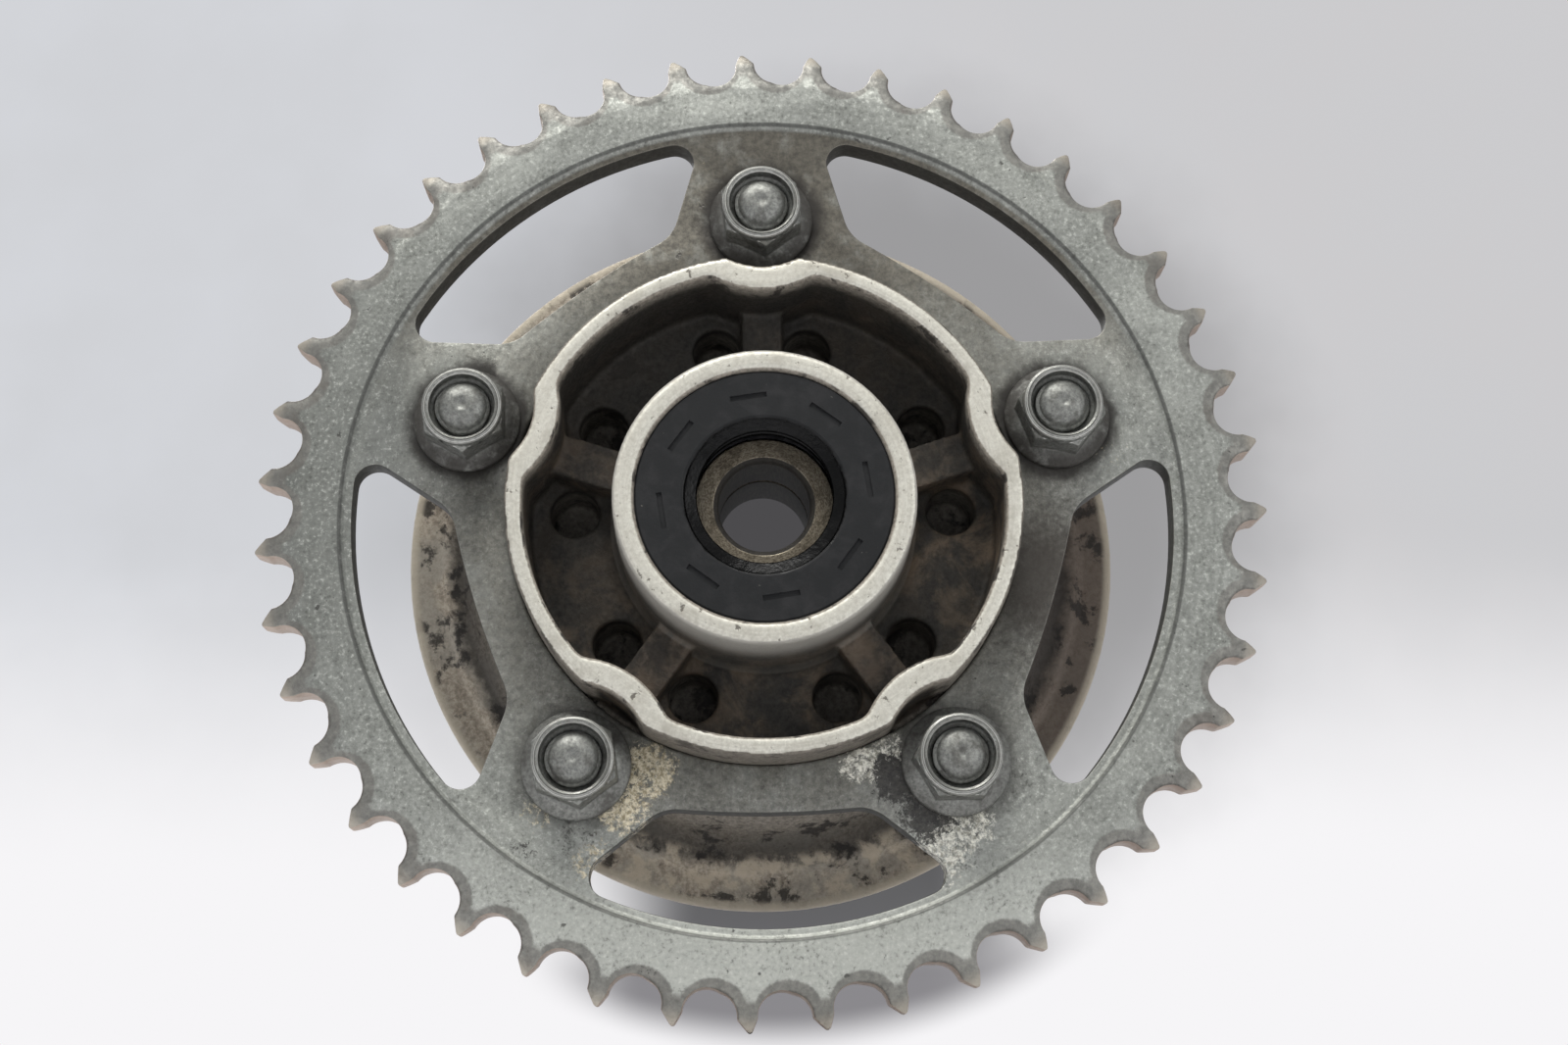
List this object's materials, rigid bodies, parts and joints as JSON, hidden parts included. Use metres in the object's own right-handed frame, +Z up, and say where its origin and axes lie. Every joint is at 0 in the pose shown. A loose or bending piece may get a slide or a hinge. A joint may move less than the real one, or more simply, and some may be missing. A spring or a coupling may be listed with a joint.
{
  "type": "motorcycle rear sprocket with hub carrier",
  "caption": "Toothed chain sprocket ring bolted with flange nuts to a cast hub carrier, which turns on a sealed ball bearing around a hollow axle collar.",
  "frame": {"origin": "on the wheel axle, at the middle of the sprocket's thickness (the chain line)", "axes": "+Y along the axle from the nuts towards the wheel, +Z up through stud 1, +X through the middle of a tooth"},
  "size_m": [0.2231, 0.0788, 0.2233],
  "materials": {
    "sprocket_zinc": "weathered zinc plate, satin",
    "cast_aluminium": "cast and machined, grimy",
    "seal_rubber": "moulded, matte",
    "pressed_steel": "plain",
    "bearing_steel": "ground",
    "cage_steel": "pressed",
    "bearing_rubber": "moulded",
    "collar_steel": "turned",
    "o_ring_rubber": "smooth",
    "stud_zinc": "zinc plate, dull",
    "nut_zinc": "zinc plate, dull"
  },
  "bodies": {
    "axle_side": {"axle_collar": "collar_steel", "bearing_inner_ring": "bearing_steel"},
    "carrier_side": {"hub_carrier": "cast_aluminium", "sprocket": "sprocket_zinc", "stud_1": "stud_zinc", "stud_2": "stud_zinc", "stud_3": "stud_zinc", "stud_4": "stud_zinc", "stud_5": "stud_zinc", "flange_nut_1": "nut_zinc", "flange_nut_2": "nut_zinc", "flange_nut_3": "nut_zinc", "flange_nut_4": "nut_zinc", "flange_nut_5": "nut_zinc", "dust_seal": "seal_rubber", "seal_case": "pressed_steel", "seal_garter_spring": "pressed_steel", "bearing_outer_ring": "bearing_steel", "bearing_seal_front": "bearing_rubber", "bearing_seal_rear": "bearing_rubber", "hub_o_ring": "o_ring_rubber"},
    "ball_cage": {"bearing_cage_front": "cage_steel", "bearing_cage_rear": "cage_steel", "bearing_ball_1": "bearing_steel", "bearing_ball_2": "bearing_steel", "bearing_ball_3": "bearing_steel", "bearing_ball_4": "bearing_steel", "bearing_ball_5": "bearing_steel", "bearing_ball_6": "bearing_steel", "bearing_ball_7": "bearing_steel", "cage_rivet_1": "cage_steel", "cage_rivet_2": "cage_steel", "cage_rivet_3": "cage_steel", "cage_rivet_4": "cage_steel", "cage_rivet_5": "cage_steel", "cage_rivet_6": "cage_steel", "cage_rivet_7": "cage_steel"}
  },
  "joints": [
    {"name": "carrier_spin", "type": "hinge", "parent": "axle_side", "child": "carrier_side", "pos_m": [0, 0, 0], "axis": [0, 1, 0], "continuous": true},
    {"name": "cage_spin", "type": "hinge", "parent": "axle_side", "child": "ball_cage", "pos_m": [0, 0, 0], "axis": [0, 1, 0], "continuous": true}
  ],
  "couplings": [
    {"joint": "cage_spin", "follows": "carrier_spin", "ratio": 0.6323}
  ]
}
